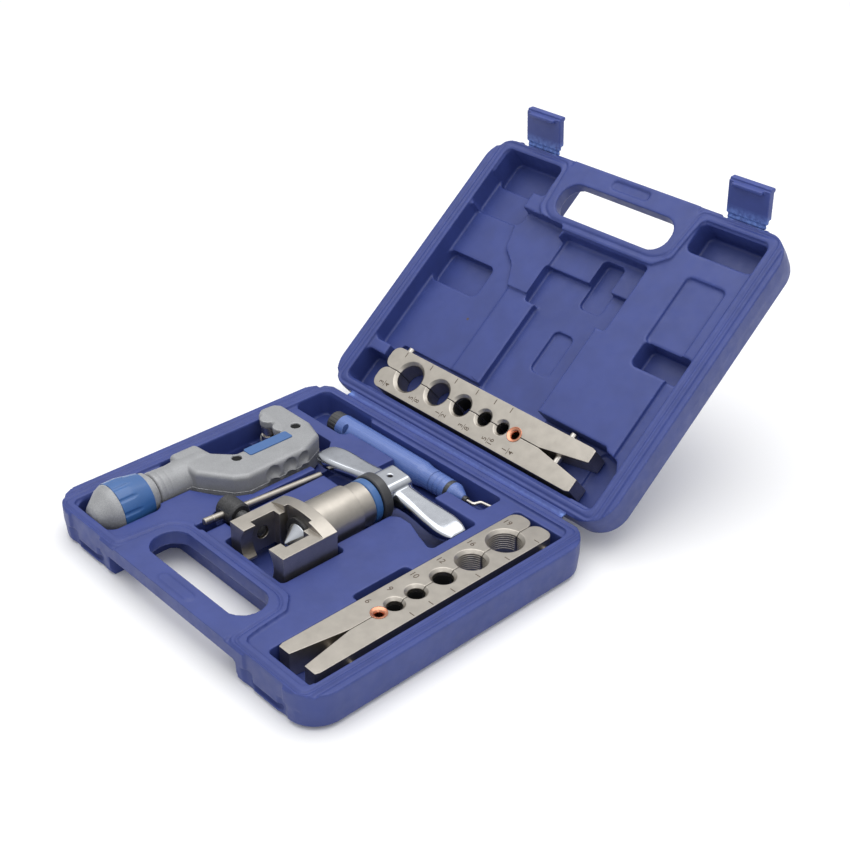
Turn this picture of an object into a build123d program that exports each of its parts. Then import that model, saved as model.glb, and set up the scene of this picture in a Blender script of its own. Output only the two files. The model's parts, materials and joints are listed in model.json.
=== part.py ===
"""Flaring tool kit: a hinged blow-moulded case that holds an eccentric flaring tool, a tube
cutter, a deburring pen and two split flaring bars.  Millimetres, +Z up, the case base on z = 0,
the hinge line along X at the back (+Y).  The lid and all it holds are drawn shut, then swung open.
"""
from build123d import *
from math import cos, pi, radians, sin
import os

# ---------------------------------------------------------------- driving dimensions
CASE_W = 244.0            # along the hinge, X
CASE_D = 210.0            # front to back, Y
HALF_H = 24.0             # height of one half of the case
CASE_R = 20.0             # plan corner radius
RIM_BAND = 10.0           # straight band below the parting face
DRAFT = 5.0               # inward lean of the wall below the band, degrees
FLOOR = 3.0               # thinnest floor under a pocket
DECK = 2.0                # the tray lies this far under the parting face
PARTING_GAP = 0.3         # play between the two halves when shut
HINGE_Y = CASE_D / 2 + 1.5
HINGE_Z = HALF_H + PARTING_GAP / 2
LID_OPEN = 140.6          # opening angle of the stored pose, degrees

HOLE_HALF_X = 46.0        # carrying slot in both halves
HOLE_Y0, HOLE_Y1 = -90.5, -65.5
HOLE_R = 11.5
GRIP_BAR_H = 9.0          # thickness of the carrying bar in each half
RELIEF_BASE = (60.0, -60.5)           # hollow under the bar: its half width and its inner wall
RELIEF_LID = (52.0, -63.5)

LATCH_X = 84.0            # latch centres, left and right
LATCH_W = 30.0
LATCH_L = 24.0            # pivot to tip
LATCH_T = 2.2
LATCH_Y = -CASE_D / 2 - 2.0
LATCH_Z = HALF_H + 4.0
LATCH_REST = 54.0         # swing from in line with the lid towards shut, degrees

CUT_X, CUT_Z = -89.5, HALF_H - 3.0    # feed axis of the tube cutter
CUT_HALF_T = 11.5                     # half thickness of its frame
KNOB_R, KNOB_NECK_R = 16.6, 13.6
KNOB_Y0, KNOB_Y1 = -83.0, -61.0
DOME_L = 14.0
BARREL_R = 12.0
CARRIAGE_R = 7.0
STEM_R = 4.5
CARRIAGE_Y0, CARRIAGE_Y1 = -29.6, -14.0
WHEEL_R, WHEEL_Y = 8.5, -18.0
FINGER_X, FINGER_Y, FINGER_Z, FINGER_R = -48.3, (7.5, 20.5, 32.0), 4.5, 6.0    # grip scallops
ROLLER_R, ROLLER_Y, ROLLER_DX = 4.8, 38.5, 6.6

TOOL_X, TOOL_Z = 7.4, HALF_H          # axis of the flaring tool
YOKE_W, YOKE_T = 48.6, 22.4
YOKE_Y0, FLANGE_Y0, FLANGE_Y1 = -49.6, -21.0, -11.0
FLANGE_TOP = 16.4
SLOT_Y0, SLOT_Y1, SLOT_W = -41.2, -24.8, 32.2
MOUTH_W = 22.8
MOUTH_R = 15.0            # the lips of the mouth are bored out to this radius
BARREL_BIG_R, BARREL_BIG_Y1 = 15.6, 17.0
BARREL_SMALL_R, BARREL_SMALL_Y1 = 13.8, 27.5
SPINDLE_R = 7.0
HUB_Y, HUB_L = 49.5, 18.0
HUB_HALF_X, HUB_HALF_Z, HUB_ROUND = 10.5, 10.2, 5.0
ARM_L, ARM_TILT, ARM_SWEEP = 56.0, 4.5, 4.5
CLAMP_Y = (SLOT_Y0 + SLOT_Y1) / 2
CLAMP_X = TOOL_X - 45.1               # plane of the tommy bar
ROD_R, ROD_NEAR, ROD_FAR, ROD_TILT = 2.2, 20.5, 66.5, 4.0

PEN_Y, PEN_Z, PEN_R = 84.4, HALF_H - 8.7, 8.3
PEN_CAP_X0, PEN_X0, PEN_NECK_X, PEN_BAND_X, PEN_TIP_X = -85.5, -76.5, 4.5, 23.5, 37.0

BAR_L, BAR_W, BAR_T = 176.0, 31.0, 15.5
BAR_SPLIT = 0.3
BAR_HOLES = (55.5, 66.7, 82.4, 102.5, 124.5, 151.3)    # from the jaw tip
METRIC = (6.0, 9.0, 10.0, 12.0, 16.0, 19.0)
INCH = (6.35, 7.94, 9.53, 12.7, 15.88, 19.05)
JAW_V, JAW_OPEN = 35.3, 6.2
PIN_R, PIN_U = 2.5, (24.0, 169.0)
BAR_OPEN = 4.0            # how far the loose half slides on its pins
METRIC_X, METRIC_TIP_Y = 90.0, -87.3
INCH_Y, INCH_TIP_X = 78.2, 89.5
BAR_SINK = 0.3            # bar face under the parting face

RUN = 0.05                # radial play of a running fit


# ---------------------------------------------------------------- shape helpers
def outline(points, radius=0.0):
    """A closed face through the points, with its corners rounded."""
    face = make_face(Polyline(*points, close=True))
    if radius:
        face = fillet(face.vertices(), radius)
    return face


def prism(points, low, high, radius=0.0):
    """An upright block with the given plan outline."""
    return extrude(Pos(0, 0, low) * outline(points, radius), amount=high - low)


def box_points(x0, x1, y0, y1):
    """The four corners of a plan rectangle."""
    return [(x0, y0), (x1, y0), (x1, y1), (x0, y1)]


def block(x0, x1, y0, y1, z0, z1, radius=0.0):
    """An upright box, its plan corners rounded."""
    return prism(box_points(x0, x1, y0, y1), z0, z1, radius)


def turned(profile):
    """A solid turned about Y from (y, radius) points that start and end on the axis."""
    return revolve(make_face(Polyline(*[(r, y) for y, r in profile], close=True)), Axis.Y)


def turned_x(profile):
    """The same, about X."""
    return Rot(0, 0, -90) * turned(profile)


def turned_z(profile):
    """The same, about Z."""
    return Rot(90, 0, 0) * turned(profile)


def rod_y(radius, y0, y1):
    return turned([(y0, 0), (y0, radius), (y1, radius), (y1, 0)])


def rod_x(radius, x0, x1):
    return turned_x([(x0, 0), (x0, radius), (x1, radius), (x1, 0)])


def tube_y(outer, inner, y0, y1):
    return rod_y(outer, y0, y1) - rod_y(inner, y0 - 1, y1 + 1)


def opened(shape):
    """Swing a shape of the lid from shut to the stored open pose."""
    return shape.rotate(Axis((0, HINGE_Y, HINGE_Z), (1, 0, 0)), -LID_OPEN)


def save(name, *solids):
    """Write one named piece."""
    shape = solids[0] if len(solids) == 1 else Compound(children=list(solids))
    shape.label = name
    export_step(shape, f"parts/{name}.step")


# ---------------------------------------------------------------- case
def half_body():
    """The outside of one half: a straight rim band over walls that lean in."""
    plan = outline(box_points(-CASE_W / 2, CASE_W / 2, -CASE_D / 2, CASE_D / 2), CASE_R)
    band = extrude(Pos(0, 0, HALF_H - RIM_BAND) * plan, amount=RIM_BAND)
    skirt = extrude(Pos(0, 0, HALF_H - RIM_BAND) * plan, amount=-(HALF_H - RIM_BAND), taper=DRAFT)
    body = band + skirt
    return chamfer(body.faces().sort_by(Axis.Z)[0].edges(), 3.0)


def inner_contour(inset):
    """The edge of the tray, which steps round the carrying slot."""
    x, y0, y1 = CASE_W / 2 - 13.0 - inset, -CASE_D / 2 + 7.5 + inset, CASE_D / 2 - 7.5 - inset
    s = 57.5 + inset
    back = -57.0 + inset
    front = [(-s - 2, y0), (-s, -86.0), (-s + 2, -66.0), (-s + 12, back)]
    mirror = [(-px, py) for px, py in reversed(front)]
    return outline([(-x, y0)] + front + mirror + [(x, y0), (x, y1), (-x, y1)], 5.0)


def rim_groove():
    """The shallow channel that runs round the parting face."""
    path_out = inner_contour(-9.0)
    path_in = inner_contour(-6.0)
    ring = path_out - path_in
    slot = block(-HOLE_HALF_X - 6, HOLE_HALF_X + 6, -CASE_D, HOLE_Y1 + 5, HALF_H - 3, HALF_H + 3)
    return extrude(Pos(0, 0, HALF_H - 1.2) * ring, amount=3.0) - slot


def front_flutes():
    """Upright scallops in the front wall, under the rim band."""
    cutters = Part()
    for x in (-112, -98, -70, 70, 98, 112):
        cutters += Pos(x, -CASE_D / 2 - 3.2, (HALF_H - RIM_BAND) / 2 - 1) * Cylinder(6.0, HALF_H - RIM_BAND)
    return cutters


def case_half(pockets, relief):
    """One half of the case in base position, opening upwards, with its tray pockets."""
    half_x, inner_y = relief
    body = half_body() - front_flutes()
    body -= block(-half_x, half_x, -CASE_D, inner_y, -1, HALF_H - GRIP_BAR_H, 6.0)
    body -= block(-HOLE_HALF_X, HOLE_HALF_X, HOLE_Y0, HOLE_Y1, -1, HALF_H + 1, HOLE_R)
    body -= rim_groove()
    body -= extrude(Pos(0, 0, HALF_H - DECK) * inner_contour(0), amount=DECK + 1)
    for points, floor, radius in pockets:
        body -= prism(points, floor, HALF_H + 1, radius)
    return body


def catch_recess(x):
    """Where a shut latch lies on the base's front wall, with the notch that its hook takes."""
    half = LATCH_W / 2 + 1.0
    face = -CASE_D / 2
    seat = block(x - half, x + half, face - 5, face + 1.2, -1, HALF_H + 1)
    hook_z = LATCH_Z - LATCH_L
    notch = block(x - half + 3, x + half - 3, face, face + 4.2, hook_z - 0.6, hook_z + 3.4)
    return seat + notch


BASE_POCKETS = (
    (box_points(-108.2, -70, -97.2, -58), FLOOR + 0.2, 8.0),
    (box_points(-104, -75, -64, -12), 5.0, 4.0),
    ([(-109, -37), (-74, -37), (-60, -29), (-51, -21), (-46.5, -12), (-46.5, 44), (-60, 60), (-109, 60)], 9.0, 3.0),
    (box_points(-108.5, -79, -13, 34), 4.0, 4.0),
    (box_points(-46.5, -12, -42, -24), 14.5, 3.0),
    (box_points(-42.5, -33, -58, -28), FLOOR + 0.2, 3.0),
    (box_points(-42, -33.2, -40, 45), 9.0, 3.0),
    (box_points(-19.5, 34.5, -53, -8), 6.6, 3.0),
    (box_points(-11, 26, -12, 44), 6.9, 3.0),
    ([(-51, 33), (-8, 31), (24, 31), (30, 37), (40, 37), (53, 32), (66, 28), (66, 65.5), (22, 65.5), (-20, 62),
      (-51, 56)], FLOOR + 0.2, 3.0),
    (box_points(-18, 30, 58, 80), 6.4, 3.0),
    (box_points(-109, -60, 70, 97), 6.4, 5.0),
    (box_points(-88, 58, 76, 94.5), 6.4, 3.0),
    (box_points(72.8, 110, -93, 92), HALF_H - BAR_SINK - BAR_T - 0.3, 3.0),
    (box_points(67.5, 76, -32, 8), 9.0, 3.0),
)

LID_POCKETS = (
    (box_points(-108, -57, -97.4, -74), 4.0, 5.0),
    (box_points(-109, -68, -80, -51), 9.0, 4.0),
    ([(-109, -51.5), (-72, -51.5), (-67, -34), (-54, -24), (-46, -8), (-46, 64), (-109, 64)], 11.0, 4.0),
    (box_points(-109, -66, -18, 7), 4.0, 5.0),
    ([(-68, -62), (-29, -60), (-26, -8), (-47, -8), (-54, -24), (-67, -34), (-73, -52)], 13.8, 3.0),
    (box_points(-52, -20, -10, 58), 12.0, 3.0),
    (box_points(-28, 44, -56, -31), 11.7, 3.0),
    (box_points(-30, 44, -34, -6), 6.5, 3.0),
    (box_points(6, 24, -53, -18), 4.0, 4.0),
    (box_points(-21, 37, -7, 60), 6.5, 4.0),
    (box_points(2, 18, 2, 33), 4.0, 4.0),
    (box_points(72, 101, -60, -11), HALF_H - 4.5, 4.0),
    (box_points(73, 109, -12, 6), 7.0, 4.0),
    (box_points(100, 109, 4, 76), HALF_H - 5.0, 4.0),
    (box_points(59, 109, -96, -75), 5.0, 5.0),
    ([(84, 58), (102, 62), (109, 74), (109, 95), (84, 95)], 6.0, 4.0),
    (box_points(-93, 94, 57.8, 95.5), HALF_H - BAR_SINK - BAR_T - 0.3, 3.0),
    (box_points(-109, -86, 72, 96), 6.0, 4.0),
)


def base_shell():
    body = case_half(BASE_POCKETS, RELIEF_BASE)
    for x in (-LATCH_X, LATCH_X):
        body -= catch_recess(x)
    pill = block(-14.5, 14.5, -101.3, -95.7, HALF_H - 0.2, HALF_H + 0.8, 2.7)
    return body + pill


def lid_shell():
    """The lid, made like the base, then turned over on to it."""
    body = case_half(LID_POCKETS, RELIEF_LID)
    body -= block(-15.5, 15.5, -102, -95, HALF_H - 1.4, HALF_H + 1, 3.2)
    for x in (-LATCH_X, LATCH_X):
        half = LATCH_W / 2 + 0.6
        body -= block(x - half, x + half, -CASE_D, -CASE_D / 2 + 1.0, HALF_H - 8, HALF_H + 1)
    body = mirror(body, about=Plane.XY.offset(HALF_H))
    return opened(Pos(0, 0, PARTING_GAP) * body)


def hinge_flap(z0, z1):
    """Half of the thin web that joins the two halves."""
    return block(-96, 96, CASE_D / 2, HINGE_Y - 0.35, z0, z1)


def latch(x):
    """A latch in line with its shut position, then swung back with the lid."""
    half = LATCH_W / 2
    y, z = LATCH_Y, LATCH_Z
    plate = block(x - half, x + half, y - LATCH_T / 2, y + LATCH_T / 2, z - LATCH_L, z - 2.6)
    web = block(x - half + 1, x + half - 1, y - 0.6, y + 0.6, z - 2.8, z)
    eye = Pos(x - half + 1, y, z) * rod_x(1.1, 0, LATCH_W - 2)
    ribs = Part()
    for side in (-1, 1):
        a, b = sorted((x + side * half, x + side * (half - 2.0)))
        ribs += block(a, b, y - 3.4, y, z - LATCH_L, z - 5)
    hook = block(x - half + 4, x + half - 4, y, y + 4.4, z - LATCH_L, z - LATCH_L + 2.0)
    lip = block(x - half, x + half, y - 4.6, y, z - LATCH_L - 1.5, z - LATCH_L + 1.0)
    shut = plate + web + eye + ribs + hook + lip
    return opened(shut.rotate(Axis((0, y, z), (1, 0, 0)), -(90.0 - LATCH_REST)))


# ---------------------------------------------------------------- tube cutter
def cutter_axis(shape):
    return Pos(CUT_X, 0, CUT_Z) * shape


def cutter_frame():
    """The cast C frame with its barrel, bored for the carriage."""
    plan = [(-102, -34), (-102, -14), (-87, -12.5), (-76, -2), (-76, 28), (-79.5, 36.5), (-104, 36.5), (-108, 41),
            (-107.5, 51), (-103, 55), (-74, 55), (-59, 50), (-51, 33), (-50.5, -11), (-55, -19), (-75, -33)]
    body = extrude(Pos(0, 0, CUT_Z - CUT_HALF_T) * outline(plan, 3.0), amount=2 * CUT_HALF_T)
    body = fillet(body.edges().filter_by(Plane.XY), 3.0)
    barrel = turned([(-55, 0), (-55, BARREL_R - 1), (-54, BARREL_R), (-40, BARREL_R - 0.6), (-34, BARREL_R),
                     (-16, BARREL_R), (-14, BARREL_R - 2), (-14, 0)])
    body += cutter_axis(barrel)
    for y in (-50.5, -46, -41.5):
        body -= cutter_axis(tube_y(BARREL_R + 2, BARREL_R - 0.7, y - 0.4, y + 0.4))
    body -= cutter_axis(rod_y(CARRIAGE_R + RUN, -60, 0))
    body -= cutter_axis(block(-9.2, 9.2, -28.5, -5, -2.2, 2.2))
    for side in (-1, 1):
        body += Pos(CUT_X + side * ROLLER_DX, ROLLER_Y, CUT_Z) * Cylinder(ROLLER_R + 0.7, 2 * CUT_HALF_T - 1)
    body -= cutter_axis(block(-19.5, 12.5, ROLLER_Y - 9, ROLLER_Y + 6, -6.2, 6.2))
    for side in (-1, 1):
        body -= Pos(CUT_X + side * ROLLER_DX, ROLLER_Y, CUT_Z) * Cylinder(1.5, 16)
    for y in FINGER_Y:
        for side in (-1, 1):
            body -= Pos(FINGER_X, y, CUT_Z + side * FINGER_Z) * Sphere(FINGER_R)
    for x, y in ((-71.1, -4.8), (-76.4, 45.0)):
        body -= Pos(x, y, CUT_Z + CUT_HALF_T - 1.5) * Cylinder(3.2, 4)
    body -= block(-75.6, -67.4, 3, 36, CUT_Z + CUT_HALF_T - 0.8, CUT_Z + CUT_HALF_T + 1, 1.5)
    return body


def frame_plugs():
    """Two dark caps over the frame's screws."""
    caps = []
    for x, y in ((-71.1, -4.8), (-76.4, 45.0)):
        caps.append(Pos(x, y, CUT_Z + CUT_HALF_T - 2.1) * Cylinder(3.1, 2.4))
    return caps


def cutter_inlay():
    return block(-75.5, -67.5, 3.1, 35.9, CUT_Z + CUT_HALF_T - 0.8, CUT_Z + CUT_HALF_T + 0.4, 1.4)


def cutter_cap():
    y = KNOB_Y0
    profile = [(y - DOME_L, 0), (y - DOME_L, 4), (y - 12.6, 7.5), (y - 4, 14.6), (y, KNOB_R - 0.4),
               (y, 4), (y - 2, 4), (y - 2, 0)]
    return cutter_axis(turned(profile))


def cutter_grip():
    """The fluted sleeve of the feed knob."""
    grip = turned([(KNOB_Y0, 0), (KNOB_Y0, KNOB_R), (KNOB_Y0 + 9, KNOB_R), (KNOB_Y1, KNOB_NECK_R + 0.8),
                   (KNOB_Y1, 0)])
    grip -= rod_y(7.9, KNOB_Y0 - 1, KNOB_Y1 + 1)
    for i in range(12):
        groove = Pos(KNOB_R + 1.6, (KNOB_Y0 + KNOB_Y1) / 2, 0) * Rot(90, 0, 0) * Cylinder(2.2, 30)
        grip -= groove.rotate(Axis.Y, 30 * i + 15)
    return cutter_axis(grip)


def cutter_collar():
    y = KNOB_Y1
    bore = CARRIAGE_R
    profile = [(y, bore), (y, KNOB_NECK_R), (y + 3.5, KNOB_NECK_R - 0.4), (y + 3.5, 11.2), (y + 5.6, 11.2),
               (y + 5.6, bore)]
    return cutter_axis(turned(profile))


def feed_sleeve():
    """Threaded sleeve of the knob: it reaches into the barrel and drives the carriage's stem."""
    y = KNOB_Y0
    profile = [(y - 1.8, 0), (y - 1.8, 3.8), (y, 3.8), (y, 7.9), (KNOB_Y1, 7.9), (KNOB_Y1, CARRIAGE_R),
               (CARRIAGE_Y0 - 0.6, CARRIAGE_R), (CARRIAGE_Y0 - 0.6, 0)]
    return cutter_axis(turned(profile) - rod_y(STEM_R + RUN, y + 1, CARRIAGE_Y0))


def cutter_carriage():
    """The round slide that carries the wheel, forked at its nose, with its threaded stem."""
    body = rod_y(CARRIAGE_R, CARRIAGE_Y0, CARRIAGE_Y1)
    body += rod_y(STEM_R, KNOB_Y0 + 2, CARRIAGE_Y0 + 1)
    body -= block(-9, 9, WHEEL_Y - 9.5, 0, -1.75, 1.75)
    body -= Pos(0, WHEEL_Y, 0) * Cylinder(1.5, 20)
    return cutter_axis(body)


def cutting_wheel():
    profile = [(-1.5, 1.5 + RUN), (-1.5, 4.2), (-0.15, WHEEL_R), (0.15, WHEEL_R), (1.5, 4.2), (1.5, 1.5 + RUN)]
    return Pos(CUT_X, WHEEL_Y, CUT_Z) * turned_z(profile)


def wheel_pin():
    return Pos(CUT_X, WHEEL_Y, CUT_Z) * Cylinder(1.5, 8.8)


def head_roller(side):
    profile = [(-5.8, 1.5 + RUN), (-5.8, ROLLER_R), (-1, ROLLER_R), (-1, ROLLER_R - 1.0), (1, ROLLER_R - 1.0),
               (1, ROLLER_R), (5.8, ROLLER_R), (5.8, 1.5 + RUN)]
    return Pos(CUT_X + side * ROLLER_DX, ROLLER_Y, CUT_Z) * turned_z(profile)


def roller_pins():
    pins = []
    for side in (-1, 1):
        pins.append(Pos(CUT_X + side * ROLLER_DX, ROLLER_Y, CUT_Z) * Cylinder(1.5, 16))
    return pins


# ---------------------------------------------------------------- flaring tool
def tool_axis(shape):
    return Pos(TOOL_X, 0, TOOL_Z) * shape


def flare_yoke():
    """Yoke with its T slot, arched flange and two-step barrel."""
    half, t = YOKE_W / 2, YOKE_T / 2
    body = block(-half, half, YOKE_Y0, FLANGE_Y1, -t, t)
    arch_r = (half ** 2 + (FLANGE_TOP - t) ** 2) / (2 * (FLANGE_TOP - t))
    flange = Pos(0, 0, FLANGE_TOP - arch_r) * rod_y(arch_r, FLANGE_Y0, FLANGE_Y1)
    flange &= Pos(0, 0, arch_r - FLANGE_TOP) * rod_y(arch_r, FLANGE_Y0, FLANGE_Y1)
    body += flange & block(-half, half, FLANGE_Y0, FLANGE_Y1, -30, 30)
    body += rod_y(BARREL_BIG_R, FLANGE_Y1, BARREL_BIG_Y1)
    body += rod_y(BARREL_SMALL_R, BARREL_BIG_Y1, BARREL_SMALL_Y1)
    tall = 40
    body -= block(-SLOT_W / 2, SLOT_W / 2, SLOT_Y0, SLOT_Y1, -tall, tall)
    body -= block(-MOUTH_W / 2, MOUTH_W / 2, YOKE_Y0 - 1, SLOT_Y0 + 1, -tall, tall)
    body -= rod_y(MOUTH_R, YOKE_Y0 - 1, SLOT_Y0 + 1)
    body -= block(-10.8, 10.8, SLOT_Y1 - 1, -18.6, -tall, tall)
    body -= rod_y(10.8 + RUN, -22, 2)
    body -= rod_y(SPINDLE_R + RUN, -1, BARREL_SMALL_Y1 + 1)
    body -= Pos(0, CLAMP_Y, 0) * rod_x(4.0 + RUN, -half - 1, 0)
    return tool_axis(body)


def ring(outer, y0, y1, edge=0.8):
    profile = [(y0, SPINDLE_R + 0.2), (y0, outer - edge), (y0 + edge, outer), (y1 - edge, outer),
               (y1, outer - edge), (y1, SPINDLE_R + 0.2)]
    return tool_axis(turned(profile))


def feed_spindle():
    """Threaded spindle, from the cone carrier to inside the handle's hub."""
    return tool_axis(rod_y(SPINDLE_R, -0.6, HUB_Y + 4))


def cone_carrier():
    """Turns with the spindle and holds the cone off centre."""
    body = rod_y(10.8, -20.5, -0.6)
    body -= Pos(1.5, 0, 0) * rod_y(4.0 + RUN, -22, -8)
    return tool_axis(body)


def flare_cone():
    """The polished cone; its axis is 1.5 off the spindle's."""
    profile = [(-31.5, 0), (-30.9, 1.2), (-21.6, 8.6), (-20.8, 8.6), (-20.8, 4.0), (-8.6, 4.0), (-8.6, 0)]
    return tool_axis(Pos(1.5, 0, 0) * turned(profile))


def feed_handle():
    """Two-armed handle: a hub and two flattened arms that sweep opposite ways."""
    hub_face = Plane(origin=(0, HUB_Y - HUB_L / 2, 0), x_dir=(1, 0, 0), z_dir=(0, 1, 0))
    hub = extrude(hub_face * RectangleRounded(2 * HUB_HALF_X, 2 * HUB_HALF_Z, HUB_ROUND), amount=HUB_L)
    arms = Part()
    for side in (-1, 1):
        stations = ((3, 8.6, 7.0, 0.0), (19, 7.8, 5.0, 0.2), (36, 9.2, 4.4, -1.4), (ARM_L - 6, 9.0, 3.9, -2.8),
                    (ARM_L, 6.4, 2.4, -3.2))
        sections = []
        for x, half_y, half_z, lift in stations:
            y = HUB_Y + side * ARM_SWEEP * x / ARM_L
            spot = Plane(origin=(side * x, y, lift), x_dir=(0, 1, 0), z_dir=(side, 0, 0))
            sections.append(spot * RectangleRounded(2 * half_y, 2 * half_z, 0.8 * half_z))
        arms += loft(sections)
    body = hub + arms
    body -= rod_y(SPINDLE_R + 0.02, HUB_Y - HUB_L, HUB_Y + 4)
    body -= Pos(0, HUB_Y, 0) * Cylinder(1.5, 40)
    return tool_axis(body.rotate(Axis.Y, ARM_TILT))


def handle_pin():
    """Roll pin that locks the handle to the spindle, one half each side."""
    pins = []
    for z in (SPINDLE_R + 1.4, -SPINDLE_R - 1.4):
        pin = Pos(0, HUB_Y, z) * Cylinder(1.5, 2.4)
        pins.append(tool_axis(pin.rotate(Axis.Y, ARM_TILT)))
    return pins


def clamp_axis(shape):
    return Pos(0, CLAMP_Y, TOOL_Z) * shape


def clamp_screw():
    x1 = TOOL_X - SLOT_W / 2 - 3.0
    return clamp_axis(rod_x(4.0, CLAMP_X + 7.8, x1))


def clamp_hub():
    body = turned_x([(CLAMP_X - 7.6, 0), (CLAMP_X - 7.6, 6.4), (CLAMP_X - 6.4, 7.6), (CLAMP_X + 6.6, 7.6),
                     (CLAMP_X + 7.8, 6.6), (CLAMP_X + 7.8, 0)])
    bar = Pos(CLAMP_X, 0, 0) * rod_y(ROD_R + RUN, -12, 12).rotate(Axis.X, -ROD_TILT)
    return clamp_axis(body - bar)


def clamp_pad():
    x0 = TOOL_X - SLOT_W / 2 - 2.8
    return clamp_axis(turned_x([(x0, 0), (x0, 3.0), (x0 + 1.6, 3.6), (x0 + 2.6, 1.2), (x0 + 2.6, 0)]))


def tommy_bar():
    near, far = -ROD_NEAR, ROD_FAR
    profile = [(near, 0), (near, ROD_R - 0.4), (near + 0.5, ROD_R), (near + 5.4, ROD_R), (near + 5.7, ROD_R - 0.4),
               (near + 6.2, ROD_R), (far - 0.5, ROD_R), (far, ROD_R - 0.4), (far, 0)]
    return clamp_axis(Pos(CLAMP_X, 0, 0) * turned(profile).rotate(Axis.X, -ROD_TILT))


# ---------------------------------------------------------------- deburring pen
def pen_axis(shape):
    return Pos(0, PEN_Y, PEN_Z) * shape


def pen_cap():
    """Knurled end cap."""
    body = turned_x([(PEN_CAP_X0, 0), (PEN_CAP_X0, 6.6), (PEN_CAP_X0 + 1, 7.7), (PEN_X0 - 0.3, 7.9), (PEN_X0 - 0.3, 0)])
    for i in range(20):
        notch = Pos(PEN_CAP_X0 + 4.5, 0, 8.2) * Box(12, 0.8, 1.2)
        body -= notch.rotate(Axis.X, 18 * i)
    return pen_axis(body)


def pen_body():
    n = PEN_NECK_X
    body = turned_x([(PEN_X0, 0), (PEN_X0, PEN_R), (n - 6, PEN_R), (n, 7.2), (PEN_BAND_X, 6.9), (PEN_BAND_X, 0)])
    for i in range(3):
        x = n + 6 + 4 * i
        body -= turned_x([(x, 6.5), (x, 9), (x + 0.8, 9), (x + 0.8, 6.5)])
    body -= Pos(PEN_X0 + 9, -6, 0) * Cylinder(2.0, 30)
    return pen_axis(body)


def pen_band():
    return pen_axis(turned_x([(PEN_BAND_X, 0), (PEN_BAND_X, 6.7), (PEN_BAND_X + 3, 6.7), (PEN_BAND_X + 3, 0)]))


def pen_nose():
    x0 = PEN_BAND_X + 3
    return pen_axis(turned_x([(x0, 0), (x0, 6.8), (x0 + 2.5, 6.6), (PEN_TIP_X - 1, 2.6), (PEN_TIP_X - 1, 0)]))


def pen_chuck():
    body = turned_x([(PEN_TIP_X - 1, 0), (PEN_TIP_X - 1, 2.4), (PEN_TIP_X + 1.5, 2.2), (PEN_TIP_X + 1.5, 0)])
    return pen_axis(body - rod_x(1.3 + RUN, PEN_TIP_X - 0.5, PEN_TIP_X + 3))


def pen_blade():
    """The hooked steel blade that turns freely in the chuck."""
    x = PEN_TIP_X
    path = FilletPolyline((x, 0, 0), (x + 7, 0, 0), (x + 8.5, 4.8, 0), (x + 16.5, 6.0, 0), radius=1.8)
    section = Plane(origin=(x, 0, 0), z_dir=(1, 0, 0)) * Circle(1.3)
    return pen_axis(sweep(section, path=path))


# ---------------------------------------------------------------- flaring bars
def flare_lip(diameter):
    """Width of the 45 degree flare seat round a hole."""
    return 1.4 + 0.035 * diameter


def bar_half(side, diameters, bored):
    """One half of a bar: u from the jaw tip along +Y, the split at x = 0, the face at z = 0."""
    s, w, gap = side, BAR_W / 2, BAR_SPLIT / 2
    plan = make_face(Polyline((s * gap, JAW_V), (s * JAW_OPEN, 0), (s * (w - 1), 0), (s * w, 3), (s * w, BAR_L),
                              (s * gap, BAR_L), close=True))
    ends = plan.vertices().filter_by_position(Axis.Y, BAR_L - 0.1, BAR_L + 0.1)
    plan = fillet(ends, 6.0)
    body = extrude(Pos(0, 0, -BAR_T) * plan, amount=BAR_T)
    for u, diameter in zip(BAR_HOLES, diameters):
        lip = flare_lip(diameter)
        r = diameter / 2
        body -= Pos(0, u, 0) * turned_z([(1, 0), (1, r + lip + 1), (-lip, r), (-BAR_T - 1, r), (-BAR_T - 1, 0)])
    for u in PIN_U:
        body -= Pos(0, u, -BAR_T / 2) * rod_x(PIN_R + (RUN if bored else 0.0), -w + 1.5 if s < 0 else -1, w + 1)
    return body


def bar_pins():
    """The two dowels, set in the fixed half and standing proud of the loose one."""
    w = BAR_W / 2
    return [Pos(0, u, -BAR_T / 2) * rod_x(PIN_R, 1.5 - w, w + BAR_OPEN - 0.2) for u in PIN_U]


def copper_flare(diameter):
    """A short tube end with a finished flare, sitting in the smallest seat."""
    r, lip, wall = diameter / 2 - RUN, flare_lip(diameter) - 0.25, 0.8
    profile = [(-10, r - wall), (-10, r), (-lip, r), (-0.2, r + lip - 0.2), (-0.2, r + lip - 0.9),
               (-lip - 0.2, r - wall)]
    return Pos(0, BAR_HOLES[0], 0) * turned_z(profile)


def place_metric(shape):
    return Pos(METRIC_X, METRIC_TIP_Y, HALF_H - BAR_SINK) * shape


def place_inch(shape):
    """Turn a bar face down in the shut lid, its jaws towards +X, and open the lid."""
    turn = Rot(180, 0, 0) * Rot(0, 0, 90)
    return opened(Pos(INCH_TIP_X, INCH_Y, HALF_H + PARTING_GAP + BAR_SINK) * (turn * shape))


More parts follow.
